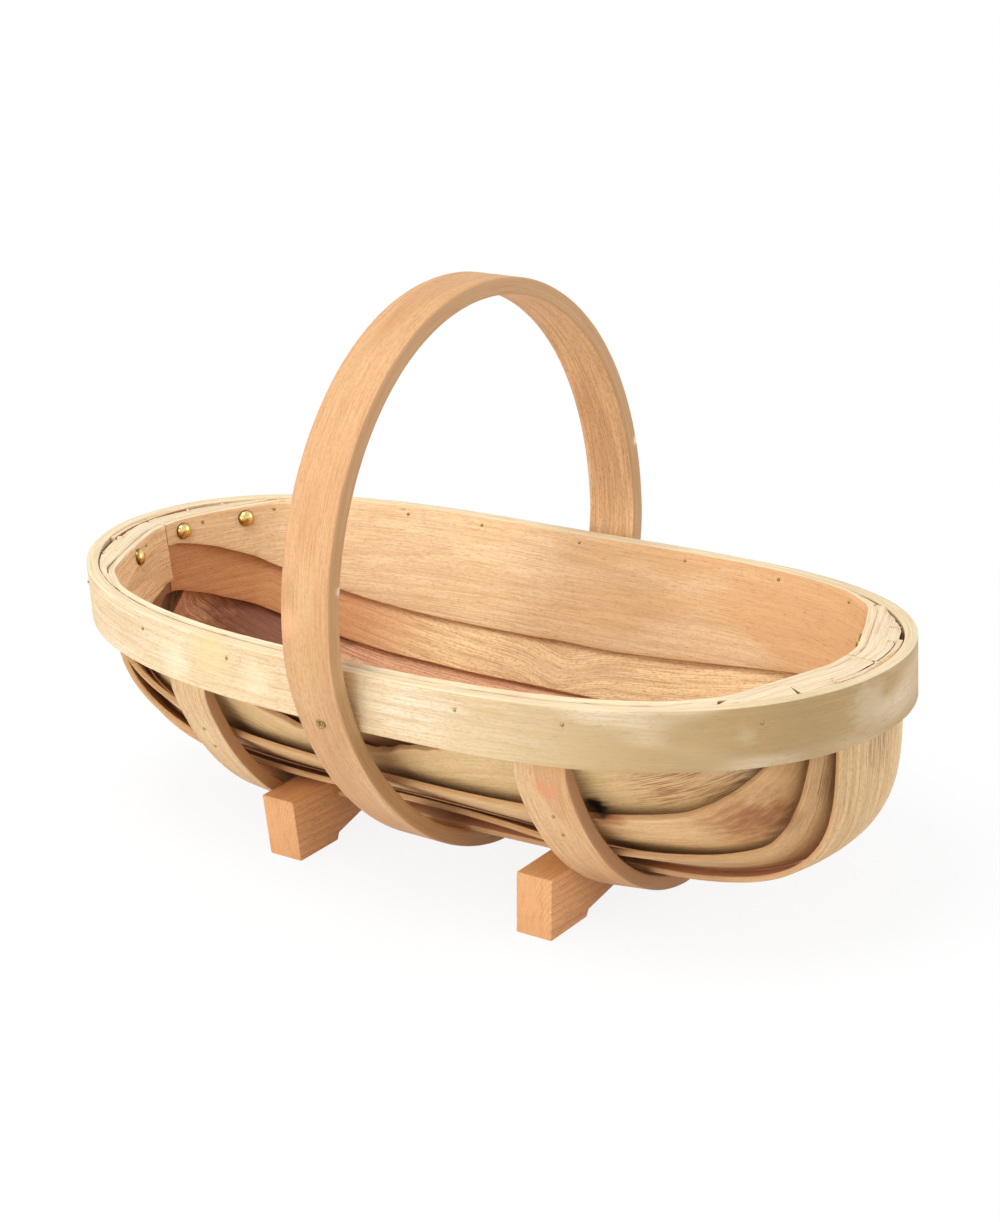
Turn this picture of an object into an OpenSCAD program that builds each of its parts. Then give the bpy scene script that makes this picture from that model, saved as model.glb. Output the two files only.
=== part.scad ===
// Trug garden basket.
// A shallow oval basket of thin curved boards, each lapped over the one above it
// and nailed inside a flat bentwood rim. A tall bentwood hoop goes right round the
// basket as its handle, two bent straps cradle the boards, and four wedge feet
// stand beside the straps.
// X runs along the length, Y across the width and Z up. The origin is on the
// ground, under the middle of the basket.

/* [Rim] */
// Length of the basket over the rim
rim_length = 555; // [480:1:620]
// Width of the basket over the rim
rim_width = 261.4; // [230:0.2:290]
// Height of the rim band
rim_height = 35; // [30:0.5:42]
// Thickness of the rim band
rim_thickness = 7; // [5:0.25:9]
// Rise of the rim from its middle to its ends
rim_rise = 8; // [0:0.5:14]

/* [Boards] */
// Depth from the middle of the rim to the underside of the centre board
basket_depth = 132.5; // [122:0.5:145]
// Thickness of every board
board_thickness = 3.5; // [2.5:0.1:4.5]
// Gap between two boards where they lap
lap_gap = 0.6; // [0.5:0.1:1]
// Gap between the boards and the hoops and straps round them
seat_gap = 0.4; // [0.3:0.1:0.8]
// Width of the centre board
centre_width = 70; // [60:0.5:76]
// Depth of the side boards in the middle
side_depth = 62; // [56:0.5:68]
// Depth of the lower edge of the second boards in the middle
second_depth = 88; // [82:0.5:93]
// Depth of the lower edge of the third boards in the middle
third_depth = 116; // [112:0.5:119]
// Distance from the middle line to the joint of the two side boards at each end
end_joint = 2; // [0:0.5:8]

/* [Handle hoop] */
// Height of the handle above the middle of the rim
handle_rise = 189.5; // [150:0.5:230]
// Width of the handle strip
handle_width = 33.8; // [26:0.2:40]
// Thickness of the handle strip
handle_thickness = 10; // [8:0.25:12]
// Gap under the centre board at the bottom of the hoop
handle_hang = 8.2; // [7.8:0.1:12]
// Height of the hoop's widest point above the rim
handle_wide_z = 16; // [8:0.5:22]
// Distance of the hoop from the middle of the basket
handle_offset = 1.4; // [-4:0.1:4]
// Lean of the hoop along the basket, in degrees
handle_lean = 0.6; // [0:0.1:1]

/* [Straps] */
// Distance from the middle of the basket to the inner edge of a strap
strap_x = 111.5; // [105:0.5:120]
// Width of a strap
strap_width = 32; // [24:0.5:36]
// Thickness of a strap
strap_thickness = 8.3; // [6:0.1:10]
// Gap under the centre board at the inner edge of a strap
strap_hang_inner = 13; // [9:0.5:16]
// Gap under the centre board at the outer edge of a strap
strap_hang_outer = 9.8; // [9:0.1:13]

/* [Feet] */
// Clear height under the centre board
ground_clearance = 26.8; // [25:0.2:34]
// Width of a foot
foot_width = 24.4; // [18:0.2:28]
// Height of a foot at its outer end
foot_height = 38.2; // [34:0.2:44]
// Distance from the middle of the basket to the outer end of a foot
foot_reach = 84; // [76:0.5:90]
// Distance by which one foot of a pair stands out past the other
foot_stagger = 9; // [0:0.5:12]
// Length of a foot that bears on the ground
foot_bearing = 35; // [28:0.5:42]
// Inward lean of the feet, in degrees
foot_lean = 4; // [0:0.5:6]

/* [Nails] */
// Diameter of a domed brass nail head
dome_diameter = 10.8; // [8:0.1:13]
// Height of a domed brass nail head
dome_height = 3.2; // [2:0.1:4.5]
// Distances of the domed nails at each end from the middle line
dome_near = 15; // [12:0.5:20]
dome_far = 58; // [52:0.5:62]
dome_alone = 42; // [38:0.5:50]
// Diameter of a pin head
pin_diameter = 3.2; // [2:0.1:4.5]
// Distance from the middle line to the pin at the end of each side board
pin_end = 29; // [26:0.5:33]
// Diameter of a handle screw's head
screw_diameter = 6; // [4.5:0.1:8]

/* [Hidden] */

// The rim's height over the ground, from which every depth below is measured.
rim_z = ground_clearance + basket_depth;
rim_a = rim_length / 2;
rim_b = rim_width / 2;
// Squareness of the rim's outline at its ends and at its sides. 2 is an ellipse.
end_squareness = 3.1;
side_squareness = 2.06;

// The boards fill a bowl that closes below the flat centre board.
bowl_a = rim_a - rim_thickness - seat_gap;
bowl_b = rim_b - rim_thickness - seat_gap;
bowl_depth = basket_depth * 1.0475;
// How the bowl's length and width close towards its bottom.
bowl_end_curve = [4.433, 4.732];
bowl_side_curve = [1.531, 2.13];
// Change of the outline's squareness from the rim to the bottom.
squareness_change = [-0.39, 0.5];
// The handle hoop draws the lower boards in over this half length, by this share.
waist_reach = 100;
waist_share = 0.13;
waist_start = 0.6;

lap_pitch = board_thickness + lap_gap;
// What the boards stand further apart where they turn up at the ends.
tip_gap = 0.6;
// Laps are measured square to the boards, which lean outwards at the ends.
lap_spread = 1.12;
// The centre board's long curve, nearly straight below with quick bends at its ends.
centre_end_curve = 4.73;
centre_bottom_curve = 4.43;
// Depth of each board's lower edge at the ends of the basket.
side_tip_tall = 30;
side_tip_low = 7;
second_tip = 39;
third_tip = 58;
fourth_tip = 75;
// Depths of the upper edges in the middle, which tuck this far behind the next board.
second_tuck = 18;
third_tuck = 7;
fourth_tuck = 4;
second_top = side_depth - second_tuck;
third_top = second_depth - third_tuck;
fourth_top = third_depth - fourth_tuck;
// Half lengths at which the upper edges come up to the rim, as shares of the bowl's.
second_reach = 0.83 * bowl_a;
third_reach = 0.922 * bowl_a;
fourth_reach = 0.970 * bowl_a;
// How square the curve of each upper edge is. The higher, the longer it runs level.
second_upper_curve = [2.2, 1.25];
third_upper_curve = [4, 2];
fourth_upper_curve = [6, 2];
// How late the lower edges turn up towards the ends.
side_tall_curve = 1.8;
side_low_curve = 3.8;
second_lower_curve = 4;
third_lower_curve = 5;
fourth_lower_curve = 6;
// A coarse dip in the second board's edge, close to the handle.
second_dip = 8;
second_dip_width = 22;
// Distance from the middle line to the fourth board's lower edge.
centre_lap = 8;
fourth_foot = centre_width / 2 - centre_lap;
// Boards of the two sides meet with this gap at the ends.
butt = 1;
// Past the centre board by this much, the fourth board eases out to the bowl.
centre_clear = 2;
// Lengths over which a board eases from one seat to the next.
ease_width = 25;
ease_reach = 1;
near_rows = 5;

// Steps along a board and round a hoop.
board_steps = 60;
hoop_steps = 120;
strap_steps = 36;
slab_steps = 24;
step = 180 / board_steps;
cut = 1;

function clamp(v, low, high) = min(max(v, low), high);
function ease(v) = let (t = clamp(v, 0, 1)) t * t * (3 - 2 * t);
function spow(v, p) = sign(v) * pow(abs(v), p);
function unit(v) = v / norm(v);
function blend(a, b, f) = a + (b - a) * f;
function soft_positive(v, reach) =
    v > reach ? v : pow(max(v + reach, 0), 2) / (4 * reach);

// Height of the rim's top edge above its middle, at a distance along X.
function rise(x) = rim_rise * pow(x / rim_a, 2);

function sunk(z) = clamp(-z / bowl_depth, 0, 0.999);
function bowl_half_length(z) =
    bowl_a * pow(1 - pow(sunk(z), bowl_end_curve[0]), 1 / bowl_end_curve[1]);
function bowl_half_width(z) =
    bowl_b * pow(1 - pow(sunk(z), bowl_side_curve[0]), 1 / bowl_side_curve[1]);
function waist(x, z) =
    let (u = min(abs(x) / waist_reach, 1))
    1 - waist_share * pow(1 - u * u, 2) * ease((sunk(z) - waist_start) * 4);
// Half width of the bowl at a distance along X and a depth.
function bowl_y(x, z, inset = 0) =
    let (m = end_squareness + squareness_change[0] * sunk(z))
    let (n = side_squareness + squareness_change[1] * sunk(z))
    let (u = min(abs(x) / (bowl_half_length(z) - inset), 1))
    (bowl_half_width(z) - inset) * waist(x, z) * pow(1 - pow(u, m), 1 / n);
// A point of the bowl at an angle round it, where 0 is the right end.
function bowl_point(angle, z, inset) =
    let (x = (bowl_half_length(z) - inset) * cos(angle))
    [x, sign(sin(angle)) * bowl_y(x, z, inset), z];

// Upper edges, as depths below the rim's top, where c is a share of the bowl's length.
function upper_edge(top, share, curve) =
    top * pow(max(0, 1 - pow(share, curve[0])), 1 / curve[1]);
function second_upper(c) =
    let (x = abs(c) * bowl_a)
    upper_edge(second_top, x / second_reach, second_upper_curve)
    + second_dip * exp(-pow(x / second_dip_width, 2));
function third_upper(c) =
    upper_edge(third_top, abs(c) * bowl_a / third_reach, third_upper_curve);
function fourth_upper(c) =
    upper_edge(fourth_top, abs(c) * bowl_a / fourth_reach, fourth_upper_curve);
// Lower edges, as depths below the middle of the rim.
function side_lower(c) =
    c < 0 ? blend(side_depth, side_tip_tall, pow(-c, side_tall_curve))
          : blend(side_depth, side_tip_low, pow(c, side_low_curve));
function third_lower(c) = blend(third_depth, third_tip, pow(abs(c), third_lower_curve));
function second_lower(c) = blend(second_depth, second_tip, pow(abs(c), second_lower_curve));

// A point of the bowl carried straight up where it would stand over the rim's middle.
function bowl_edge(angle, z, inset) =
    let (p = bowl_point(angle, min(z, 0), inset))
    [p[0], p[1], z];
// Upper outer edge of the fourth board, which stands inside the centre board's ends.
function fourth_up(angle) =
    let (c = cos(angle))
    let (z = rise(c * bowl_a) - fourth_upper(c))
    let (y = abs(bowl_edge(angle, z, 0)[1]))
    let (covered = ease((centre_width / 2 + centre_clear + ease_width - y) / ease_width))
    bowl_edge(angle, z, lap_spread * lap_pitch * covered);
// Distance between the outer faces of two lapped boards, a little more at the ends.
function row_pitch(row) = lap_pitch + tip_gap * pow(abs(cos(row[0])), 4);
// Upper outer edge of any other board. It stands on the bowl, or as much further in as
// keeps it behind the inner faces of the next board out, near its own row.
function edge_up(rows, i, depth) =
    let (angle = rows[i][0])
    let (free = bowl_edge(angle, rise(cos(angle) * bowl_a) - depth, 0))
    let (out = unit([rows[i][3][0], rows[i][3][1], 0]))
    let (over = max([
        for (j = [max(i - near_rows, 0) : min(i + near_rows, len(rows) - 1)])
            let (row = rows[j])
            (free - row[1] + row_pitch(row) * row[3]) * row[3] / (out * row[3])
    ]))
    free - out * soft_positive(over, ease_reach);

// The centre board's outer face at an angle along it and a distance across it.
centre_rows = 4;
function centre_half(y) =
    bowl_a * pow(1 - pow(abs(y) / bowl_b, side_squareness), 1 / end_squareness);
function centre_point(angle, y) =
    let (s = pow(abs(sin(angle)), 2 / centre_bottom_curve))
    let (x = centre_half(y) * spow(cos(angle), 2 / centre_end_curve))
    [x, y, rise(x) * pow(1 - s, 2) - basket_depth * s];
function centre_normal(angle, y) =
    unit(cross(
        centre_point(angle + cut, y) - centre_point(angle - cut, y),
        centre_point(angle, y - cut) - centre_point(angle, y + cut)
    ));

// Lower outer edge of the fourth board, which bears on the centre board's inner face.
function fourth_edge(angle) =
    let (c = cos(angle))
    let (tip = asin(pow(fourth_tip / basket_depth, centre_bottom_curve / 2)))
    let (along = acos(clamp(cos(tip) * spow(c, centre_end_curve / 2), -1, 1)))
    let (y = sign(sin(angle))
        * (butt + (fourth_foot - butt) * sqrt(max(0, 1 - pow(abs(c), fourth_lower_curve)))))
    centre_point(-along, y) - lap_pitch * centre_normal(-along, y);

// Rows of a board: angle, upper outer edge and lower outer edge.
function with_normals(rows) = [
    for (i = [0 : len(rows) - 1])
        let (a = rows[max(i - 1, 0)])
        let (b = rows[min(i + 1, len(rows) - 1)])
        let (tangent = b[1] + b[2] - a[1] - a[2])
        concat(rows[i], [unit(cross(tangent, rows[i][1] - rows[i][2]))])
];
// The point at a depth on the inner face of a row of the next board out.
function seat_point(row, z) =
    let (drop = row_pitch(row) * row[3][2])
    let (f = clamp((z + drop - row[2][2]) / (row[1][2] - row[2][2]), 0, 1))
    blend(row[2], row[1], f) - row_pitch(row) * row[3];

// The angles run a little past both ends, so that end laps share the rows.
margin = 3;
angles = [
    for (i = [-margin : board_steps + margin]) -180 + i * step
];
fourth_rows = with_normals([
    for (a = angles) [a, fourth_up(a), fourth_edge(a)]
]);
third_rows = with_normals([
    for (i = [0 : len(angles) - 1])
        let (row = fourth_rows[i])
        let (c = cos(row[0]))
        [row[0], edge_up(fourth_rows, i, third_upper(c)), seat_point(row, -third_lower(c))]
]);
second_rows = with_normals([
    for (i = [0 : len(angles) - 1])
        let (row = third_rows[i])
        let (c = cos(row[0]))
        [row[0], edge_up(third_rows, i, second_upper(c)), seat_point(row, -second_lower(c))]
]);
side_rows = with_normals([
    for (i = [0 : len(angles) - 1])
        let (row = second_rows[i])
        let (c = cos(row[0]))
        [row[0], edge_up(second_rows, i, 0), seat_point(row, -side_lower(c))]
]);

// Skins a row of rings. A ring holds the outer points and then the inner points back,
// and the diagonals of the two faces run alike, so that lapped boards lie parallel.
module skin(rings) {
    k = len(rings[0]);
    last = (len(rings) - 1) * k;
    half = k / 2;
    points = [for (r = rings) each r];
    side = [
        for (i = [0 : len(rings) - 2], j = [0 : k - 1])
            let (a = i * k + j)
            let (b = i * k + (j + 1) % k)
            each j < half
                ? [[a, b + k, b], [a, a + k, b + k]]
                : [[a, a + k, b], [b, a + k, b + k]]
    ];
    ends = [
        for (j = [0 : half - 2])
            let (b = j + 1)
            let (c = k - 2 - j)
            let (d = k - 1 - j)
            each [
                [j, b, c], [j, c, d],
                [last + j, last + c, last + b], [last + j, last + d, last + c]
            ]
    ];
    polyhedron(points = points, faces = concat(side, ends), convexity = 6);
}

// The point of a board between two rows where its upper edge is at a distance
// from the middle line.
function row_at(a, b, y) = blend(a, b, (y - a[1][1]) / (b[1][1] - a[1][1]));
// The rows of a front board, from one end of the basket round to the other.
function board_span(rows, y_left, y_right) =
    let (mid = floor(len(rows) / 2))
    let (first = min([for (i = [0 : mid]) if (rows[i][1][1] < y_left) i]))
    let (last = max([for (i = [mid : len(rows) - 1]) if (rows[i][1][1] < y_right) i]))
    concat(
        [row_at(rows[first - 1], rows[first], y_left)],
        [for (i = [first : last]) rows[i]],
        [row_at(rows[last + 1], rows[last], y_right)]
    );
function board_ring(row) = [
    row[1],
    row[2],
    row[2] - board_thickness * row[3],
    row[1] - board_thickness * row[3]
];

// A board of the front half. The back half is the same, turned half a turn.
module front_board(rows, y_left = -butt, y_right = -butt) {
    skin([for (row = board_span(rows, y_left, y_right)) board_ring(row)]);
}
module half_turn() {
    rotate([0, 0, 180]) children();
}
module at_rim() {
    translate([0, 0, rim_z]) children();
}

// One ply of the outline of the rim, as a polygon of points.
function rim_outline(inset) = [
    for (i = [0 : hoop_steps - 1])
        let (angle = i * 360 / hoop_steps)
        let (u = pow(abs(cos(angle)), end_squareness))
        [
            (rim_a - inset) * cos(angle),
            sign(sin(angle)) * (rim_b - inset) * pow(max(0, 1 - u), 1 / side_squareness)
        ]
];

// A slab whose faces rise towards both ends as the rim does.
module rim_slab() {
    over = 10;
    reach = rim_a + over;
    tops = [for (i = [-slab_steps : slab_steps]) i / slab_steps * reach];
    outline = concat(
        [for (x = tops) [x, rise(x)]],
        [for (i = [len(tops) - 1 : -1 : 0]) [tops[i], rise(tops[i]) - rim_height]]
    );
    rotate([90, 0, 0])
    linear_extrude(height = rim_width + 2 * over, center = true)
    polygon(outline);
}

module rim_hoop() {
    deep = rim_height + rim_rise + 2 * cut;
    color("#ecd9b0")
    at_rim()
    difference() {
        intersection() {
            translate([0, 0, -rim_height - cut])
            linear_extrude(height = deep)
            difference() {
                polygon(rim_outline(0));
                polygon(rim_outline(rim_thickness));
            }
            rim_slab();
        }
        place_handle() handle_screw_pair(screw_shank / 2 + screw_gap, 0);
    }
}

// The handle hoop's inner curve. It touches the rim at the rim's lower edge.
hoop_low_curve = 1.77;
hoop_high_curve = 2.03;
hoop_seat = 0.5;
hoop_low = basket_depth + handle_hang + handle_wide_z;
hoop_high = handle_rise - handle_thickness - handle_wide_z;
function low_share(z) =
    pow(1 - pow((handle_wide_z - z) / hoop_low, hoop_low_curve), 1 / hoop_low_curve);
hoop_half = (rim_b + hoop_seat) / low_share(-rim_height);
function hoop_point(angle) =
    let (p = sin(angle) < 0 ? hoop_low_curve : hoop_high_curve)
    let (h = sin(angle) < 0 ? hoop_low : hoop_high)
    [hoop_half * spow(cos(angle), 2 / p), handle_wide_z + h * spow(sin(angle), 2 / p)];
function hoop_normal(angle) =
    let (t = hoop_point(angle + cut) - hoop_point(angle - cut))
    unit([t[1], -t[0]]);
function hoop_outline(ply) = [
    for (i = [0 : hoop_steps - 1])
        let (angle = i * 360 / hoop_steps)
        hoop_point(angle) + ply * hoop_normal(angle)
];

module place_handle() {
    translate([handle_offset, 0, 0])
    rotate([0, handle_lean, 0])
    children();
}

// Screws through the legs into the rim, a little above the rim's lower edge.
screw_rise = 7;
screw_shank = 3.2;
screw_gap = 0.1;
screw_head = 1.6;
screw_z = screw_rise - rim_height;
// Outer face of a leg at the screw.
leg_slope = (low_share(screw_z + cut) - low_share(screw_z - cut)) * hoop_half / (2 * cut);
leg_out = hoop_half * low_share(screw_z) + handle_thickness * sqrt(1 + leg_slope * leg_slope);
screw_short = 1;
screw_length = leg_out - rim_b + rim_thickness - screw_short;
module handle_screw_pair(r, gap) {
    head_r = screw_diameter / 2 + gap;
    for (side = [0, 180]) {
        rotate([0, 0, side])
        translate([0, -leg_out, screw_z])
        rotate([-90, 0, 0]) {
            cylinder(r = r, h = screw_length, $fn = 24);
            translate([0, 0, -screw_head / 2 - gap])
            cylinder(r = head_r, h = screw_head + 2 * gap, $fn = 32);
        }
    }
}

module handle_hoop() {
    color("#efc48e")
    at_rim()
    place_handle()
    difference() {
        rotate([90, 0, 90])
        linear_extrude(height = handle_width, center = true)
        difference() {
            polygon(hoop_outline(handle_thickness));
            polygon(hoop_outline(0));
        }
        handle_screw_pair(screw_shank / 2 + screw_gap, screw_gap);
    }
}

module handle_screws() {
    color("#b8a678") at_rim() place_handle() handle_screw_pair(screw_shank / 2, 0);
}

// Bent straps under the boards. Each edge of a strap has its own curve.
strap_curve = 1.8;
strap_seat = 0.8;
strap_end_thickness = 5;
strap_tuck = 2;
strap_top = rim_height - rise(strap_x + strap_width / 2) - strap_tuck;
strap_taper = 14;
function strap_low(x) =
    basket_depth + (x < strap_x + strap_width / 2 ? strap_hang_inner : strap_hang_outer);
function strap_half(x) =
    let (share = pow(1 - pow(rim_height / strap_low(x), strap_curve), 1 / strap_curve))
    (bowl_y(x, -rim_height) + strap_seat) / share;
function strap_in(x, angle) = [
    strap_half(x) * spow(cos(angle), 2 / strap_curve),
    strap_low(x) * spow(sin(angle), 2 / strap_curve)
];
function strap_start(x) = -asin(pow(strap_top / strap_low(x), strap_curve / 2));
function strap_ply(x, angle) =
    let (below = -strap_in(x, angle)[1] - strap_top)
    blend(strap_end_thickness, strap_thickness, ease(below / strap_taper));
function strap_out(x, angle) =
    let (t = strap_in(x, angle + cut) - strap_in(x, angle - cut))
    strap_in(x, angle) + strap_ply(x, angle) * unit([t[1], -t[0]]);
function strap_angle(x, f) = blend(-180 - strap_start(x), strap_start(x), f);
function strap_face(x, f, outer) =
    let (a = strap_angle(x, f))
    let (p = outer ? strap_out(x, a) : strap_in(x, a))
    [x, p[0], p[1]];

module strap_right_shape() {
    near = strap_x;
    far = strap_x + strap_width;
    skin([
        for (i = [0 : strap_steps])
            let (f = i / strap_steps)
            [
                strap_face(far, f, true), strap_face(near, f, true),
                strap_face(near, f, false), strap_face(far, f, false)
            ]
    ]);
}
module strap_right() {
    color("#d9a874") at_rim() strap_right_shape();
}
module strap_left() {
    color("#d9a874") at_rim() mirror([1, 0, 0]) strap_right_shape();
}

module centre_board() {
    half = centre_width / 2;
    rows = [for (i = [0 : board_steps]) i * step - 180];
    ys = [for (j = [0 : centre_rows]) blend(-half, half, j / centre_rows)];
    grid = [for (a = rows) [for (y = ys) centre_point(a, y)]];
    function normal(i, j) =
        let (lo = max(i - 1, 0))
        let (hi = min(i + 1, board_steps))
        let (left = max(j - 1, 0))
        let (right = min(j + 1, centre_rows))
        unit(cross(grid[hi][j] - grid[lo][j], grid[i][left] - grid[i][right]));
    color("#e0b47e")
    at_rim()
    skin([
        for (i = [0 : board_steps])
            concat(
                [for (j = [0 : centre_rows]) grid[i][j]],
                [
                    for (j = [centre_rows : -1 : 0])
                        grid[i][j] - board_thickness * normal(i, j)
                ]
            )
    ]);
}

module fourth_board_front() {
    color("#dcb27c") at_rim() front_board(fourth_rows);
}
module fourth_board_back() {
    color("#dcb27c") at_rim() half_turn() front_board(fourth_rows);
}
module third_board_front() {
    color("#cf9a6c") at_rim() front_board(third_rows);
}
module third_board_back() {
    color("#b8785a") at_rim() half_turn() front_board(third_rows);
}
module second_board_front() {
    color("#d8ba82") at_rim() front_board(second_rows);
}
module second_board_back() {
    color("#d99f68") at_rim() half_turn() front_board(second_rows);
}
module side_board_front() {
    color("#e6c593") at_rim() front_board(side_rows, -end_joint, end_joint - butt);
}
module side_board_back() {
    color("#e2ab74") at_rim() half_turn() front_board(side_rows, -end_joint, end_joint - butt);
}

// Wedge feet beside the straps, saddled to the underside of the boards.
foot_seat = 0.4;
foot_side_gap = 0.5;
foot_tail = 12;
foot_heel = 2;
foot_heel_rise = 4;
foot_toe = 20;
foot_toe_rise = 9.5;
// Distance along the basket where the saddle is taken, at the foot's inner side.
foot_outer_x = strap_x - foot_side_gap;
foot_inner_x = foot_outer_x - foot_width;
module foot(shift) {
    c = foot_inner_x / bowl_a;
    top = fourth_up(-acos(c));
    low = fourth_edge(-acos(c));
    slope = (top[2] - low[2]) / (low[1] - top[1]);
    // Height under the fourth board at a distance from the middle line.
    function under(y) = low[2] + (y + low[1]) * slope - foot_seat * sqrt(1 + slope * slope);
    block_top = foot_height - rim_z;
    reach = foot_reach + shift;
    half = centre_width / 2 + foot_seat;
    flat_y = half + (block_top - under(half)) / slope;
    outline = [
        [-reach, -rim_z],
        [-reach, block_top],
        [-flat_y, block_top],
        [-half, under(half)],
        [-half, -basket_depth - foot_seat],
        [-foot_tail, -basket_depth - foot_seat],
        [-foot_tail, foot_toe_rise - rim_z],
        [-foot_toe, foot_toe_rise - rim_z],
        [foot_bearing + foot_heel - reach, foot_heel_rise - rim_z],
        [foot_bearing - reach, -rim_z]
    ];
    sway = tan(foot_lean) * foot_height;
    intersection() {
        rotate([90, 0, 90])
        linear_extrude(height = foot_outer_x)
        polygon(outline);
        rotate([90, 0, 0])
        linear_extrude(height = reach + cut)
        polygon([
            [foot_inner_x - sway, -rim_z],
            [foot_outer_x - sway, -rim_z],
            [foot_outer_x, block_top],
            [foot_inner_x, block_top]
        ]);
    }
}
module foot_front_right() {
    color("#dd9f62") at_rim() foot(foot_stagger / 2);
}
module foot_front_left() {
    color("#dd9f62") at_rim() mirror([1, 0, 0]) foot(-foot_stagger / 2);
}
module foot_back_right() {
    color("#dd9f62") at_rim() mirror([0, 1, 0]) foot(-foot_stagger / 2);
}
module foot_back_left() {
    color("#dd9f62") at_rim() half_turn() foot(foot_stagger / 2);
}

// A low domed head, standing on its flat face.
module dome(d, h, rings, facets) {
    r = (d * d / 4 + h * h) / (2 * h);
    sweep = asin(d / 2 / r);
    rotate_extrude($fn = facets)
    polygon(concat(
        [[0, 0]],
        [
            for (i = [0 : rings])
                let (a = sweep * (1 - i / rings))
                [r * sin(a), i == 0 ? 0 : h - r + r * cos(a)]
        ]
    ));
}
module dome_nail() {
    dome(dome_diameter, dome_height, 5, 32);
}
module pin_head() {
    dome(pin_diameter, pin_height, 2, 16);
}
// Places a head on a face, with its top along a direction.
module on_face(point, direction, gap) {
    tilt = acos(direction[2]);
    turn = atan2(direction[1], direction[0]);
    translate(point + gap * direction) rotate([0, tilt, turn]) children();
}

// The row of the front side board at a distance from the middle line, near one end.
function side_end_row(y, left) =
    let (mid = floor(len(side_rows) / 2))
    let (i = left
        ? max([for (k = [0 : mid]) if (side_rows[k][1][1] > y) k])
        : max([for (k = [mid : len(side_rows) - 1]) if (side_rows[k][1][1] < y) k]))
    row_at(side_rows[i], side_rows[i + 1], y);
// The row of the front side board at a distance along the basket.
function side_row_x(x) =
    let (i = max([for (k = [margin : margin + board_steps - 1]) if (side_rows[k][1][0] <= x) k]))
    let (a = side_rows[i])
    let (b = side_rows[i + 1])
    blend(a, b, (x - a[1][0]) / (b[1][0] - a[1][0]));
// A head on the inner face of the front side board, below its upper edge.
module on_side_row(row, drop, gap) {
    f = 1 - drop / (row[1][2] - row[2][2]);
    p = blend(row[2], row[1], f) - board_thickness * row[3];
    on_face(p, -row[3], gap) children();
}

dome_drop = 8;
head_gap = 0.4;
dome_gap = 0.6;
// Domed nails in one end of the front side board.
module dome_nails_at(places, left) {
    for (y = places) {
        on_side_row(side_end_row(-y, left), dome_drop, dome_gap) dome_nail();
    }
}
module dome_nails_left_shape() {
    dome_nails_at([dome_alone], true);
    half_turn() dome_nails_at([dome_near, dome_far], false);
}
module dome_nails_left() {
    color("#c9a040") at_rim() dome_nails_left_shape();
}
module dome_nails_right() {
    color("#c9a040") at_rim() half_turn() dome_nails_left_shape();
}

// Small pins through the boards into the rim, and clout nails on the rim's face.
pin_height = 0.8;
pin_drop = 5;
// Places along the basket, as shares of the bowl's and the rim's half length. They are
// uneven, because the nails go in by hand.
pin_shares = [-0.748, -0.529, -0.267, 0.026, 0.304, 0.511, 0.827];
rim_nail_shares = [-0.86, -0.56, -0.29, 0.3, 0.533, 0.874];
rim_nail_drop = 10;
module rim_nail(x) {
    y = -rim_b * pow(1 - pow(abs(x) / rim_a, end_squareness), 1 / side_squareness);
    out = unit([
        sign(x) * end_squareness * pow(abs(x) / rim_a, end_squareness - 1) / rim_a,
        -side_squareness * pow(abs(y) / rim_b, side_squareness - 1) / rim_b,
        0
    ]);
    on_face([x, y, rise(x) - rim_nail_drop], out, head_gap) pin_head();
}
module rim_pins() {
    for (share = pin_shares) {
        on_side_row(side_row_x(share * bowl_a), pin_drop, head_gap) pin_head();
    }
    for (left = [false, true]) {
        on_side_row(side_end_row(-pin_end, left), pin_drop, head_gap) pin_head();
    }
    for (share = rim_nail_shares) rim_nail(share * rim_a);
}
module rim_pins_front() {
    color("#8a7a5a") at_rim() rim_pins();
}
module rim_pins_back() {
    color("#8a7a5a") at_rim() half_turn() rim_pins();
}

// Two pins at each end of a strap, one below the other.
strap_pin_shares = [0.104, 0.145];
module strap_pin(f) {
    near = strap_x;
    far = strap_x + strap_width;
    p = (strap_face(near, f, true) + strap_face(far, f, true)) / 2;
    along = strap_face(near, f + 0.01, true) - strap_face(near, f - 0.01, true);
    across = strap_face(far, f, true) - strap_face(near, f, true);
    on_face(p, unit(cross(along, across)), head_gap) pin_head();
}
module strap_pins() {
    color("#8a7a5a")
    at_rim()
    for (side = [0, 1]) {
        mirror([side, 0, 0])
        for (f = strap_pin_shares) {
            strap_pin(f);
            strap_pin(1 - f);
        }
    }
}

rim_hoop();
handle_hoop();
strap_left();
strap_right();
centre_board();
fourth_board_front();
fourth_board_back();
third_board_front();
third_board_back();
second_board_front();
second_board_back();
side_board_front();
side_board_back();
foot_front_left();
foot_front_right();
foot_back_left();
foot_back_right();
dome_nails_left();
dome_nails_right();
rim_pins_front();
rim_pins_back();
strap_pins();
handle_screws();
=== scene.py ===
"""Looks of the trug garden basket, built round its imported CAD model.

Every wooden strip is made again from the long edges of its CAD solid, finely enough to
carry torn edges and eased arrises, and keeps a "grain" attribute on its corners: metres
along the strip, across it and through it. The wood patterns follow that attribute.
"""

import math

import bmesh
import bpy
import numpy as np
from mathutils import Matrix, Vector


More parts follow.
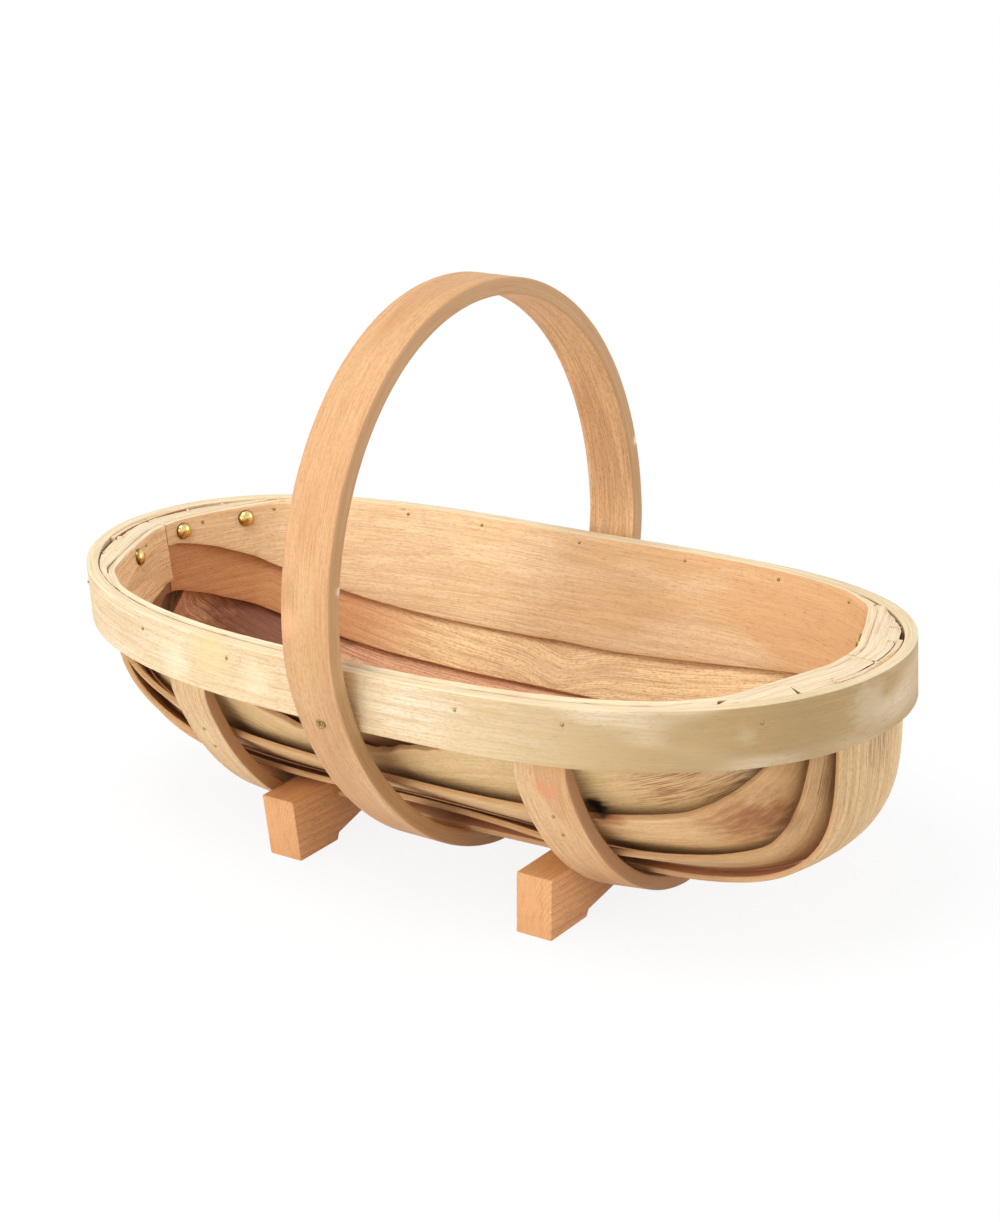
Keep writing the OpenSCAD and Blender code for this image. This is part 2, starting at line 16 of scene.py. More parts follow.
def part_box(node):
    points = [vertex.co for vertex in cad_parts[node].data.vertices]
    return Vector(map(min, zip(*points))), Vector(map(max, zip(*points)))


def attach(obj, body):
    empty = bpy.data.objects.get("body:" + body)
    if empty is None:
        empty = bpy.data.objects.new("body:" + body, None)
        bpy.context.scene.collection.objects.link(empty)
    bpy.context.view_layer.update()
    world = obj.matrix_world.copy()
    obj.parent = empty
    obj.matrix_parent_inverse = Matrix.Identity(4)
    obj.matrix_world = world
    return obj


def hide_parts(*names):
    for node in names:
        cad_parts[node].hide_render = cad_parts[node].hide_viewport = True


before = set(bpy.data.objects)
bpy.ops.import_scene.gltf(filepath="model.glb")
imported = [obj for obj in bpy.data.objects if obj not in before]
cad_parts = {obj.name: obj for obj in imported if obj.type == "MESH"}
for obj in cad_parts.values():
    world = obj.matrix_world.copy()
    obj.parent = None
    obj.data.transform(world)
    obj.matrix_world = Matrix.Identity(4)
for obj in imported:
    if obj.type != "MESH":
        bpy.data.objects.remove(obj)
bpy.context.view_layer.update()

MM = 0.001
BODY = "root"

# The photograph's frame, and the camera that was solved from it, as a place and its turn
# about X, Y and Z.
PHOTO_LONG_SIDE = 1222
FOCAL_PIXELS = 2542.5
SENSOR = 36.0
CAMERA_PLACE = (0.87236, -1.10651, 0.66026)
CAMERA_TURN = [math.radians(degrees) for degrees in (70.01418, 3.32303, 36.45848)]

# The rim's own sizes. The rest comes from its box.
RIM_HEIGHT = 35 * MM
RIM_THICKNESS = 7 * MM
RIM_END_SQUARENESS = 3.1
RIM_SIDE_SQUARENESS = 2.06
RIM_LOW, RIM_HIGH = (Vector(corner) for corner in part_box("rim_hoop"))
RIM_RISE = RIM_HIGH.z - RIM_LOW.z - RIM_HEIGHT
RIM_Z = RIM_HIGH.z - RIM_RISE
# Where the rim's strip starts and ends, on the far side, as an angle.
RIM_LAP = math.radians(69)

# The handle hoop's own sizes. Its widest point is a little above the rim.
HOOP_LOW, HOOP_HIGH = (Vector(corner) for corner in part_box("handle_hoop"))
HOOP_THICKNESS = 10 * MM
HOOP_WIDTH = 33.8 * MM
HOOP_WIDE_Z = RIM_Z + 16 * MM
HOOP_LEAN = math.radians(0.6)
HOOP_OFFSET = 1.4 * MM
HOOP_LOW_CURVE = 1.77
HOOP_HIGH_CURVE = 2.03

# The willow boards' own sizes.
BOARD_THICKNESS = 3.5 * MM
CENTRE_BOARD_HALF_WIDTH = 35 * MM

# How finely the strips are made again.
BOARD_ROWS = 420
BOARD_COLUMNS = 14
HOOP_ROWS = 480
HOOP_COLUMNS = 16
EDGE_COLUMNS = 4

# How far the arrises are eased, on each kind of strip.
RIM_ARRIS = 0.6 * MM
HOOP_ARRIS = 1.2 * MM
BOARD_ARRIS = 0.45 * MM
STRAP_ARRIS = 1.0 * MM
FOOT_ARRIS = 0.7 * MM

# The long edges wander within a band this deep below the strip's edge.
EDGE_BAND = 5 * MM

# The basket's ends, where the boards' tops are bruised flat, start at this X. The tops
# grow outwards by this much at most, up to a fine line, and where they split, to a gap.
ENDS_START = 0.18
ENDS_FADE = 0.02
LIP_LIMIT = 13 * MM
LIP_LINE = 0.12 * MM
LIP_SPLIT = 1.8 * MM
LIP_AT_SIDES = 0.3 * MM

# Heads of the fixings.
DOME_RADIUS = 5.4 * MM
DOME_HEIGHT = 3.1 * MM
DOME_SINK = 0.5 * MM
PIN_RADIUS = 1.05 * MM
PIN_HEIGHT = 0.5 * MM
PIN_SINK = 0.35 * MM
SCREW_RADIUS = 3 * MM
SCREW_CROWN = 0.25 * MM
SCREW_SKIRT = 1.2 * MM
RECESS_HALF_WIDTH = 0.5 * MM
RECESS_REACH = 2.0 * MM
RECESS_DEPTH = 1.3 * MM


def linear(code):
    """An sRGB hex value as the linear colour that a shader wants."""
    values = (int(code[i:i + 2], 16) / 255 for i in (1, 3, 5))
    return [v / 12.92 if v <= 0.04045 else ((v + 0.055) / 1.055) ** 2.4 for v in values] + [1]


def add(tree, kind, inputs=None, **settings):
    """Adds a node. inputs maps a socket's name or number to a value or to what feeds it."""
    node = tree.nodes.new(kind)
    for key, value in settings.items():
        setattr(node, key, value)
    for key, value in (inputs or {}).items():
        socket = node.inputs[key]
        if isinstance(value, bpy.types.Node):
            value = value.outputs[0]
        if isinstance(value, bpy.types.NodeSocket):
            tree.links.new(value, socket)
        else:
            socket.default_value = value
    return node


def smooth_noise(count, wave, seed, octaves=3):
    """Smooth random values within 1 of zero, where wave is the rows in one wave."""
    total = np.zeros(count)
    for octave in range(octaves):
        step = max(wave / 2 ** octave, 1)
        source = np.random.default_rng(seed * 31 + octave)
        knots = source.uniform(-1, 1, int(count / step) + 4)
        at = np.arange(count) / step
        i = at.astype(int)
        f = at - i
        f = f * f * (3 - 2 * f)
        total += (knots[i] * (1 - f) + knots[i + 1] * f) / 2 ** octave
    return total / sum(0.5 ** octave for octave in range(octaves))


# Reading the CAD strips

def welded(node):
    """Points and triangles of a CAD node, with the loose triangles' corners merged."""
    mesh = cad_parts[node].data
    points = np.empty(len(mesh.vertices) * 3)
    mesh.vertices.foreach_get("co", points)
    points = points.reshape(-1, 3)
    mesh.calc_loop_triangles()
    triangles = np.empty(len(mesh.loop_triangles) * 3, dtype=int)
    mesh.loop_triangles.foreach_get("vertices", triangles)
    weld = 0.02 * MM
    keys = np.round(points / weld).astype(int)
    unique, index = np.unique(keys, axis=0, return_inverse=True)
    index = index.ravel()
    merged = np.zeros((len(unique), 3))
    merged[index] = points
    return merged, index[triangles].reshape(-1, 3)


def face_normals(points, triangles):
    """Unit normals of triangles, and zero for a sliver."""
    a, b, c = (points[triangles[:, k]] for k in range(3))
    normals = np.cross(b - a, c - a)
    size = np.linalg.norm(normals, axis=1, keepdims=True)
    return np.where(size > 1e-14, normals / np.maximum(size, 1e-14), 0)


def long_edges(node):
    """The four long edges of a CAD strip, each as its points from one end to the other."""
    points, triangles = welded(node)
    normals = face_normals(points, triangles)
    beside = {}
    for face, corners in enumerate(triangles):
        for k in range(3):
            edge = tuple(sorted((int(corners[k]), int(corners[(k + 1) % 3]))))
            beside.setdefault(edge, []).append(face)
    square_corner = 0.6
    sharp = {}
    for (p, q), faces in beside.items():
        if len(faces) == 2 and normals[faces[0]] @ normals[faces[1]] < square_corner:
            sharp.setdefault(p, []).append(q)
            sharp.setdefault(q, []).append(p)
    corners = [p for p, near in sharp.items() if len(near) == 3]
    chains = []
    for start in corners:
        for second in sharp[start]:
            chain = [start, second]
            while len(sharp[chain[-1]]) == 2:
                chain.append(next(p for p in sharp[chain[-1]] if p != chain[-2]))
            if chain[0] < chain[-1]:
                chains.append(points[chain])
    chains.sort(key=len)
    return chains[-4:]


def strip_rails(node, along):
    """The outer first, outer last, inner last and inner first edges of a strip, as rows.
    along is the axis that the strip runs along. The first edge is the highest, or the
    furthest along +Y or +X where both are level."""
    rails = long_edges(node)
    rails = [rail if rail[0][along] < rail[-1][along] else rail[::-1] for rail in rails]
    count = max(len(rail) for rail in rails)
    rails = [finer(rail, count) for rail in rails]
    middle = [rail[count // 2] for rail in rails]
    partner = min((1, 2, 3), key=lambda k: np.linalg.norm(middle[k] - middle[0]))
    pairs = [(0, partner), tuple(k for k in (1, 2, 3) if k != partner)]
    pairs = [
        sorted(pair, key=lambda k: math.hypot(middle[k][1], middle[k][2] - RIM_Z), reverse=True)
        for pair in pairs
    ]
    pairs.sort(key=lambda pair: tuple(
        round(float(sum(middle[k][axis] for k in pair)), 3) for axis in (2, 1, 0)
    ), reverse=True)
    (outer_first, inner_first), (outer_last, inner_last) = pairs
    order = (outer_first, outer_last, inner_last, inner_first)
    return np.stack([rails[k] for k in order], axis=1)


def finer(rows, count):
    """Rows of points taken at another number of places, on smooth curves through them."""
    n = len(rows)
    at = np.linspace(0, n - 1, count)
    i = np.minimum(at.astype(int), n - 2)
    f = (at - i).reshape((-1,) + (1,) * (rows.ndim - 1))
    p0 = rows[np.maximum(i - 1, 0)]
    p1 = rows[i]
    p2 = rows[i + 1]
    p3 = rows[np.minimum(i + 2, n - 1)]
    return p1 + 0.5 * f * (
        p2 - p0 + f * (2 * p0 - 5 * p1 + 4 * p2 - p3 + f * (3 * (p1 - p2) + p3 - p0))
    )


# Making strips again

def section(width, thickness, arris, columns):
    """Metres across and through a strip, round its section with eased arrises."""
    ease = arris * (1 - math.sqrt(0.5))
    face = np.linspace(arris, width - arris, columns)
    edge = np.linspace(arris, thickness - arris, EDGE_COLUMNS)
    loop = [(v, 0) for v in face]
    loop += [(width - ease, ease)] + [(width, g) for g in edge]
    loop += [(width - ease, thickness - ease)] + [(v, thickness) for v in face[::-1]]
    loop += [(ease, thickness - ease)] + [(0, g) for g in edge[::-1]] + [(ease, ease)]
    return np.array(loop)


def loft(name, points, grain, closed, material):
    """A closed mesh over rows of section points, with the grain on its corners."""
    n, k = points.shape[:2]
    i, j = np.meshgrid(np.arange(n if closed else n - 1), np.arange(k), indexing="ij")
    around = (j + 1) % k
    after = (i + 1) % n
    corners = [(i, j), (i, around), (after, around), (after, j)]
    faces = np.stack([a * k + b for a, b in corners], axis=-1).reshape(-1, 4)
    grown = [(i, j), (i, around), (i + 1, around), (i + 1, j)]
    values = np.stack([grain[a, b] for a, b in grown], axis=-2).reshape(-1, 4, 3)
    flat = points.reshape(-1, 3)
    a, b, c = (flat[faces[:, m]] for m in range(3))
    inside_out = np.einsum("ij,ij->", a, np.cross(b, c)) < 0
    if inside_out:
        faces, values = faces[:, ::-1], values[:, ::-1]
    polygons = faces.tolist()
    values = values.reshape(-1, 3)
    if not closed:
        first, last = list(range(k)), list(range((n - 1) * k, n * k))
        first_grain, last_grain = grain[0], grain[n - 1]
        if inside_out:
            last, last_grain = last[::-1], last_grain[::-1]
        else:
            first, first_grain = first[::-1], first_grain[::-1]
        polygons += [first, last]
        values = np.concatenate([values, first_grain, last_grain])
    mesh = bpy.data.meshes.new(name)
    mesh.from_pydata(flat.tolist(), [], polygons)
    attribute = mesh.attributes.new("grain", "FLOAT_VECTOR", "CORNER")
    attribute.data.foreach_set("vector", values.ravel())
    mesh.materials.append(material)
    mesh.polygons.foreach_set("use_smooth", [True] * len(polygons))
    mesh.set_sharp_from_angle(angle=math.radians(55))
    return mesh


def piece(name, mesh, slot, *nodes):
    """A finished mesh becomes a piece that stands for its CAD nodes."""
    thing = bpy.data.objects.new(name, mesh)
    bpy.context.scene.collection.objects.link(thing)
    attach(thing, BODY)
    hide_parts(*nodes)


def sweep(
    name, rows, closed, arris, columns, material, seed, rough, torn=(), wave=0, lips=None,
    crown=None,
):
    """A strip over rows of four section corners. rough is how far its long edges wander,
    and torn lists places (edge, x, reach, depth) where an edge is splintered. wave is how
    far the whole strip wanders in and out. lips is each row's growth outwards at its first
    edge, and crown moves the finished points."""
    n = len(rows)
    outer = (rows[:, 0] + rows[:, 1]) / 2
    steps = np.linalg.norm(np.diff(outer, axis=0), axis=1)
    along = np.concatenate([[0], np.cumsum(steps)])
    width = np.linalg.norm(rows[:, 1] - rows[:, 0], axis=1)
    thickness = np.linalg.norm(rows[:, 3] - rows[:, 0], axis=1)
    normal = (rows[:, 0] - rows[:, 3]) / thickness[:, None]
    swell = smooth_noise(n, 60, seed + 5) * wave
    offsets = []
    seam_fade_rows = 12
    for edge in (0, 1):
        coarse, fine = smooth_noise(n, 26, seed + edge), smooth_noise(n, 3, seed + 7 + edge)
        offset = rough * (coarse + 0.35 * fine)
        for which, x, reach, depth in torn:
            if which == edge:
                near = np.exp(-((outer[:, 0] - x) / reach) ** 2)
                offset += depth * near * smooth_noise(n, 4, seed + 11, 2)
        if closed:
            from_seam = np.minimum(np.arange(n), n - 1 - np.arange(n))
            fade = np.clip(from_seam / seam_fade_rows, 0, 1)
            offset = offset * fade
            swell = swell * fade
        offsets.append(offset)
    if lips is None:
        lips = np.zeros(n)
    points, grain = [], []
    for i in range(n):
        loop = section(width[i], thickness[i], arris, columns)
        v, g = loop[:, 0], loop[:, 1]
        v = v - offsets[0][i] * np.clip(1 - v / EDGE_BAND, 0, 1)
        v = v + offsets[1][i] * np.clip(1 - (width[i] - v) / EDGE_BAND, 0, 1)
        g = g - lips[i] * np.clip(1 - v / EDGE_BAND, 0, 1) * (1 - g / thickness[i])
        f, h = (v / width[i])[:, None], (g / thickness[i])[:, None]
        face = rows[i, 0] + f * (rows[i, 1] - rows[i, 0])
        back = rows[i, 3] + f * (rows[i, 2] - rows[i, 3])
        points.append(face + h * (back - face) + swell[i] * normal[i])
        grain.append(np.stack([np.full(len(v), along[i]), v, g], axis=1))
    if closed:
        last = grain[0].copy()
        last[:, 0] = along[-1] + steps[0]
        grain.append(last)
    points = np.array(points)
    if crown:
        points = crown(points)
    return loft(name, points, np.array(grain), closed, material)


# Materials

def blank(name):
    """A new material's tree and its principled shader."""
    material = bpy.data.materials.new(name)
    material.use_nodes = True
    tree = material.node_tree
    tree.nodes.clear()
    shader = add(tree, "ShaderNodeBsdfPrincipled")
    add(tree, "ShaderNodeOutputMaterial", {"Surface": shader})
    return material, tree, shader


def blend(tree, factor, first, second):
    """The node output that goes from the first colour to the second."""
    mix = add(tree, "ShaderNodeMix", {0: factor, 6: first, 7: second}, data_type="RGBA")
    return mix.outputs[2]


def wood(
    name, seed, face, late, pale, back=None, cut=None, top=None, drift=None, back_drift=None,
    thickness=BOARD_THICKNESS, ring_mm=5.0, ring_strength=0.35, heart_mm=(24, 18), taper=0.03,
    sway_mm=9, fibre_strength=0.5, patch_mm=55, patch_strength=0.5, fleck_strength=0.5,
    roughness=0.62, marks=(),
):
    """Bare sawn wood: matt, with growth rings, dark fibres along the strip, paler dry
    patches, a woolly sawn surface and short brown flecks.

    face and back are the two faces' colours, late the colour of the dark side of a growth
    ring, pale that of dry patches, cut that of sawn edges and top that of edges as high as
    the rim's top. drift is a colour that the face turns to between two places along X, and
    back_drift the same for the back. heart_mm is where the log's heart lies, across and
    below the strip. marks lists stains, and some spots of painted light and shade, as place,
    reach, colour and strength, in metres. A fifth entry makes a stain show only along some of
    the fibres, as open splits do."""
    material, tree, shader = blank(name)
    grain = add(tree, "ShaderNodeAttribute", attribute_name="grain").outputs["Vector"]
    place = add(tree, "ShaderNodeTexCoord").outputs["Object"]
    parts = add(tree, "ShaderNodeSeparateXYZ", {0: grain})
    along, across, through = parts.outputs
    shift = (seed * 1.37, seed * 0.61, seed * 0.23)
    log = add(tree, "ShaderNodeVectorMath", {0: grain, 1: shift}, operation="ADD")

    def stretched(run, size_mm, detail, rough=0.55):
        """Noise whose marks are size_mm wide and run times as long."""
        pulled = add(
            tree, "ShaderNodeVectorMath", {0: log, 1: (1 / run, 1, 1)}, operation="MULTIPLY"
        )
        return add(tree, "ShaderNodeTexNoise", {
            "Vector": pulled, "Scale": 1 / (size_mm * MM), "Detail": detail, "Roughness": rough
        }).outputs["Fac"]

    def ramp(value, low, high, to=1.0):
        """Eases from nothing, where the value is low, to the amount given."""
        return add(tree, "ShaderNodeMapRange", {
            "Value": value, "From Min": low, "From Max": high, "To Min": 0.0, "To Max": to
        }, interpolation_type="SMOOTHSTEP").outputs["Result"]

    def math_node(kind, first, second=0.0, third=0.0):
        return add(tree, "ShaderNodeMath", {0: first, 1: second, 2: third}, operation=kind)

    # Growth rings are shells round a heart line that climbs slowly along the strip.
    sway = stretched(5, 45, 2)
    swayed = math_node("MULTIPLY_ADD", sway, sway_mm * MM, across)
    side = math_node("SUBTRACT", swayed, heart_mm[0] * MM)
    climb = math_node("MULTIPLY_ADD", along, taper, through)
    depth = math_node("ADD", climb, heart_mm[1] * MM)
    flat = add(tree, "ShaderNodeCombineXYZ", {1: side, 2: depth})
    radius = add(tree, "ShaderNodeVectorMath", {0: flat}, operation="LENGTH").outputs["Value"]
    ring = math_node("FRACT", math_node("DIVIDE", radius, ring_mm * MM))
    late_wood = math_node("POWER", ring, 2.4)
    # The dark side stops sharply, so its last tenth fades to keep the edge from stepping.
    end = ramp(ring, 1.0, 0.9)
    late_wood = math_node("MULTIPLY", late_wood, end)

    # Real fibres and saw wool are 0.1 to 0.3 mm wide, which doesn't show in a picture of the
    # whole basket, so they are drawn 0.8 and 1.2 mm wide.
    fibre_mm, wool_mm, fleck_mm = 0.8, 1.2, 0.55
    fibre = stretched(45, fibre_mm, 3, 0.6)
    fibre_dark = ramp(fibre, 0.42, 0.66)
    patch = ramp(stretched(3, patch_mm, 2), 0.5, 0.66, patch_strength)
    fleck = ramp(stretched(14, fleck_mm, 1), 0.64, 0.74, fleck_strength)
    soft = stretched(6, 12, 2)

    x, _, z = add(tree, "ShaderNodeSeparateXYZ", {0: place}).outputs

    def drifting(tone, change):
        """A face's colour, which may turn to another along X."""
        if not change:
            return linear(tone)
        other, start, stop = change
        return blend(tree, ramp(x, start, stop), linear(tone), linear(other))

    colour = drifting(face, drift)
    if back:
        inside = ramp(through, 0.45 * thickness, 0.6 * thickness)
        colour = blend(tree, inside, colour, drifting(back, back_drift))
    colour = blend(tree, patch, colour, linear(pale))
    ring_amount = math_node("MULTIPLY", late_wood, ring_strength)
    colour = blend(tree, ring_amount, colour, linear(late))
    soft_amount = ramp(soft, 0.45, 0.75, ring_strength * 0.8)
    colour = blend(tree, soft_amount, colour, linear(late))
    fibre_amount = math_node("MULTIPLY", fibre_dark, fibre_strength)
    colour = blend(tree, fibre_amount, colour, linear(late))
    wool = ramp(stretched(2.2, wool_mm, 2, 0.7), 0.47, 0.68, 0.4)
    colour = blend(tree, wool, colour, linear(late))
    colour = blend(tree, fleck, colour, linear("#8A6238"))

    # Sawn edges have their own colour, as far as the middle of the arrises.
    arris = 0.5 * MM
    from_face = ramp(through, arris * 0.4, arris)
    from_back = ramp(through, thickness - arris * 0.4, thickness - arris)
    first_edge = ramp(across, arris * 1.6, arris * 0.8)
    sawn = math_node("MAXIMUM", math_node("MULTIPLY", from_face, from_back), first_edge)
    sawn = math_node("MULTIPLY", sawn, 0.85)
    if cut:
        sawn_colour = linear(cut)
        if top:
            high = ramp(z, RIM_Z - 4 * MM, RIM_Z - 1 * MM)
            sawn_colour = blend(tree, high, sawn_colour, linear(top))
        sawn_fibre = blend(tree, fibre_amount, sawn_colour, linear(late))
        colour = blend(tree, sawn, colour, sawn_fibre)

    strands = None
    if any(len(mark) > 4 for mark in marks):
        strands = ramp(stretched(25, 0.9, 2), 0.5, 0.58)
    for spot, reach, tone, strength, *in_strands in marks:
        apart = add(tree, "ShaderNodeVectorMath", {0: place, 1: spot}, operation="DISTANCE")
        frayed = math_node("MULTIPLY_ADD", stretched(2, 5, 3), reach * 1.2, apart.outputs["Value"])
        stain = ramp(frayed, reach * 1.8, reach * 0.9, strength)
        if in_strands:
            stain = math_node("MULTIPLY", stain, strands)
        colour = blend(tree, stain, colour, linear(tone))
    tree.links.new(colour, shader.inputs["Base Color"])

    # Raised fibres and sunken flecks, in metres.
    height = math_node("MULTIPLY", fibre, 0.10 * MM)
    height = math_node("MULTIPLY_ADD", late_wood, 0.05 * MM, height)
    height = math_node("MULTIPLY_ADD", fleck, -0.12 * MM, height)
    bump = add(tree, "ShaderNodeBump", {"Height": height, "Strength": 0.8, "Distance": 1.0})
    tree.links.new(bump.outputs[0], shader.inputs["Normal"])
    dull = add(tree, "ShaderNodeMapRange", {
        "Value": fibre, "To Min": roughness - 0.08, "To Max": roughness + 0.14
    })
    tree.links.new(dull.outputs[0], shader.inputs["Roughness"])
    return material


def brass(name, polished, dull, tarnish, roughness, foot=None):
    """Brass, polished but dull in cloudy patches, so that it shines unevenly. foot is the colour
    of the painted dark reflection and shade round a dome's foot, which leaves its crown the
    brightest part."""
    material, tree, shader = blank(name)
    place = add(tree, "ShaderNodeTexCoord").outputs["Object"]
    cloud = add(tree, "ShaderNodeTexNoise", {"Vector": place, "Scale": 1 / (3 * MM), "Detail": 3})
    amount = add(tree, "ShaderNodeMapRange", {
        "Value": cloud.outputs["Fac"], "From Min": 0.45, "From Max": 0.75, "To Max": tarnish
    })
    colour = blend(tree, amount.outputs[0], linear(polished), linear(dull))
    if foot:
        # Painted dark reflection and shade: none on the crown, growing towards the dome's foot.
        rise = add(tree, "ShaderNodeAttribute", attribute_name="rise").outputs["Fac"]
        painted_foot_shade = add(tree, "ShaderNodeMapRange", {
            "Value": rise, "From Min": 0.75, "From Max": 0.2, "To Max": 0.9
        }, interpolation_type="SMOOTHSTEP")
        colour = blend(tree, painted_foot_shade.outputs[0], colour, linear(foot))
    tree.links.new(colour, shader.inputs["Base Color"])
    shader.inputs["Metallic"].default_value = 1.0
    worn = add(tree, "ShaderNodeMapRange", {
        "Value": cloud.outputs["Fac"], "To Min": roughness, "To Max": roughness + 0.2
    })
    tree.links.new(worn.outputs[0], shader.inputs["Roughness"])
    scuff = add(tree, "ShaderNodeTexNoise", {"Vector": place, "Scale": 1 / (0.8 * MM), "Detail": 2})
    bump = add(tree, "ShaderNodeBump", {
        "Height": scuff.outputs["Fac"], "Strength": 0.15, "Distance": 0.1 * MM
    })
    tree.links.new(bump.outputs[0], shader.inputs["Normal"])
    return material


# Pieces

def rim_rows():
    """Section corners round the rim: outer top, outer bottom, inner bottom, inner top."""
    a, b = RIM_HIGH.x, RIM_HIGH.y
    rows = []
    for i in range(HOOP_ROWS):
        angle = RIM_LAP + 2 * math.pi * i / HOOP_ROWS
        c = math.cos(angle)
        share = (1 - abs(c) ** RIM_END_SQUARENESS) ** (1 / RIM_SIDE_SQUARENESS)
        share = math.copysign(share, math.sin(angle))
        row = []
        for inset, drop in ((0, 0), (0, 1), (1, 1), (1, 0)):
            x = (a - inset * RIM_THICKNESS) * c
            y = (b - inset * RIM_THICKNESS) * share
            row.append((x, y, RIM_Z + RIM_RISE * (x / a) ** 2 - drop * RIM_HEIGHT))
        rows.append(row)
    return np.array(rows)


def hoop_rows():
    """Section corners round the handle hoop, from its lowest point."""
    low = HOOP_WIDE_Z - HOOP_LOW.z - HOOP_THICKNESS
    high = HOOP_HIGH.z - HOOP_WIDE_Z - HOOP_THICKNESS
    half = HOOP_HIGH.y - HOOP_THICKNESS

    def curve(angle):
        c, s = math.cos(angle), math.sin(angle)
        power, reach = (HOOP_LOW_CURVE, low) if s < 0 else (HOOP_HIGH_CURVE, high)
        y = math.copysign(abs(c) ** (2 / power), c) * half
        z = math.copysign(abs(s) ** (2 / power), s) * reach
        return Vector((0, y, HOOP_WIDE_Z + z))

    lean = Matrix.Rotation(HOOP_LEAN, 3, "Y")
    pivot = Vector((0, 0, RIM_Z))
    turn = 2 * math.pi / HOOP_ROWS
    rows = []
    for i in range(HOOP_ROWS):
        inner = curve(i * turn - math.pi / 2)
        along = curve((i + 1) * turn - math.pi / 2) - curve((i - 1) * turn - math.pi / 2)
        out = Vector((0, along.z, -along.y)).normalized()
        row = []
        for x, ply in ((-0.5, 1), (0.5, 1), (0.5, 0), (-0.5, 0)):
            p = inner + Vector((x * HOOP_WIDTH, 0, 0)) + out * ply * HOOP_THICKNESS
            row.append(lean @ (p - pivot) + pivot + Vector((HOOP_OFFSET, 0, 0)))
        rows.append(row)
    return np.array(rows)


# Stains and paler places that the photograph shows, as wood() takes them. On the rim, the
# dark marks at the right front are partly weathering and partly painted shade where the rim
# turns away from the key light, and the pale marks are partly the wood's own paler places
# and partly painted light.
RIM_MARKS = [
    ((0.256, -0.062, 0.146), 0.024, "#A68A5E", 0.4),
    ((0.217, -0.096, 0.140), 0.020, "#B89C6E", 0.25),
    ((0.236, -0.083, 0.149), 0.006, "#D4C4A0", 0.25),
    ((0.272, -0.022, 0.152), 0.016, "#DCCDAE", 0.4),
    ((-0.126, -0.125, 0.139), 0.014, "#F3E6C8", 0.4),
    ((-0.059, -0.130, 0.141), 0.013, "#F3E6C8", 0.25),
    ((-0.095, -0.130, 0.150), 0.018, "#E6C88E", 0.5),
    ((0.020, -0.131, 0.146), 0.013, "#F2E3C0", 0.25),
]
HANDLE_MARKS = [
    ((0.0188, -0.1399, 0.2096), 0.004, "#F6E9CF", 0.8),
    ((0.0189, 0.1473, 0.2176), 0.004, "#F6E9CF", 0.8),
    ((-0.010, -0.148, 0.190), 0.010, "#F0B98A", 0.4),
]


def make_rim():
    """Sawn ash: the palest strip, matt, with fine straight lines, turning darker grey-brown
    towards the right, which is partly weathering and partly painted shade where the rim turns
    away from the key light."""
    material = wood(
        "sawn_ash_rim", 1, face="#E3CCA6", late="#C19C68", pale="#EDE2CA", cut="#E8D6B2",
        # drift darkens the rim towards the right: partly weathering, partly painted shade.
        drift=("#AA8E60", 0.03, 0.24), thickness=RIM_THICKNESS, ring_mm=3.2,
        ring_strength=0.3, heart_mm=(60, 90), taper=0.012, patch_mm=48, patch_strength=0.6,
        fleck_strength=0.35, roughness=0.6, marks=RIM_MARKS,
    )
    mesh = sweep(
        "rim", rim_rows(), True, RIM_ARRIS, HOOP_COLUMNS, material, 3, 0.25 * MM, wave=0.3 * MM
    )
    piece("rim", mesh, "rim_ash", "rim_hoop")


def make_handle():
    """Steamed ash: warm tan, a little smoother than the rest from hands, with long rings."""
    # The hoop's back, its inner face, is painted much paler than its face: painted light on the
    # side that lies in shade.
    material = wood(
        "steamed_ash_handle", 2, face="#D0A272", back="#F8CC9A", late="#B27C4A",
        pale="#E0C08E", cut="#BA9264", thickness=HOOP_THICKNESS, ring_mm=3.8,
        heart_mm=(17, 70), taper=0.01, sway_mm=4, patch_mm=70, patch_strength=0.4,
        fleck_strength=0.4, roughness=0.55, marks=HANDLE_MARKS,
    )
    mesh = sweep(
        "handle", hoop_rows(), True, HOOP_ARRIS, HOOP_COLUMNS, material, 9, 0.2 * MM,
        wave=0.2 * MM,
    )
    piece("handle", mesh, "handle_ash", "handle_hoop")


